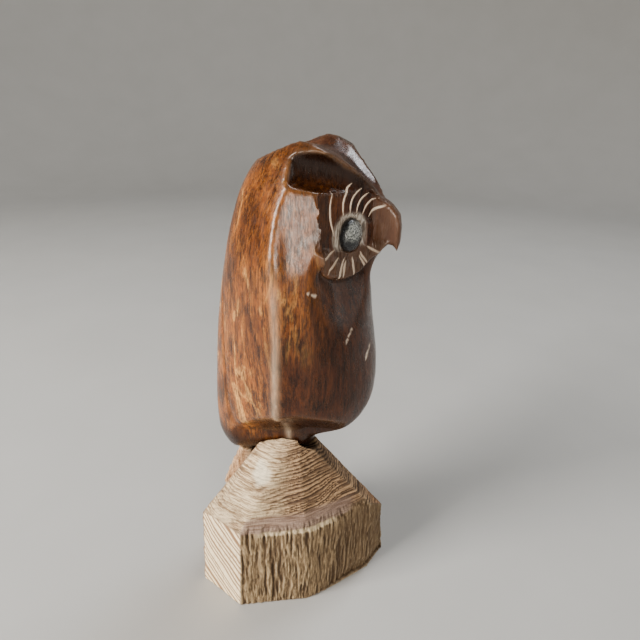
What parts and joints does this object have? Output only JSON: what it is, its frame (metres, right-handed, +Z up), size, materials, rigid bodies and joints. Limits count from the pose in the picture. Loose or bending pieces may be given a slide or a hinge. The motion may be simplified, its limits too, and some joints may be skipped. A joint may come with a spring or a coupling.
{
  "type": "carved wooden figurine",
  "caption": "Carved wooden owl with a polished body, crested brow, hooked beak and inlaid round eyes, standing on a rough-cut block.",
  "frame": {"origin": "centre of the bounding box's footprint, on the surface the block stands on", "axes": "+Z up from the block to the ear tips, the owl looks along -Y, +X is the owl's left side"},
  "size_m": [0.0622, 0.0754, 0.18],
  "materials": {
    "rough_wood": "unpolished, torn and sawn",
    "polished_wood": "polished",
    "dowel_wood": "plain",
    "eye_bead": "gloss"
  },
  "bodies": {
    "root": {"base_block": "rough_wood", "owl_body": "polished_wood", "neck_dowel": "dowel_wood", "eye_right": "eye_bead", "eye_left": "eye_bead"}
  },
  "joints": []
}
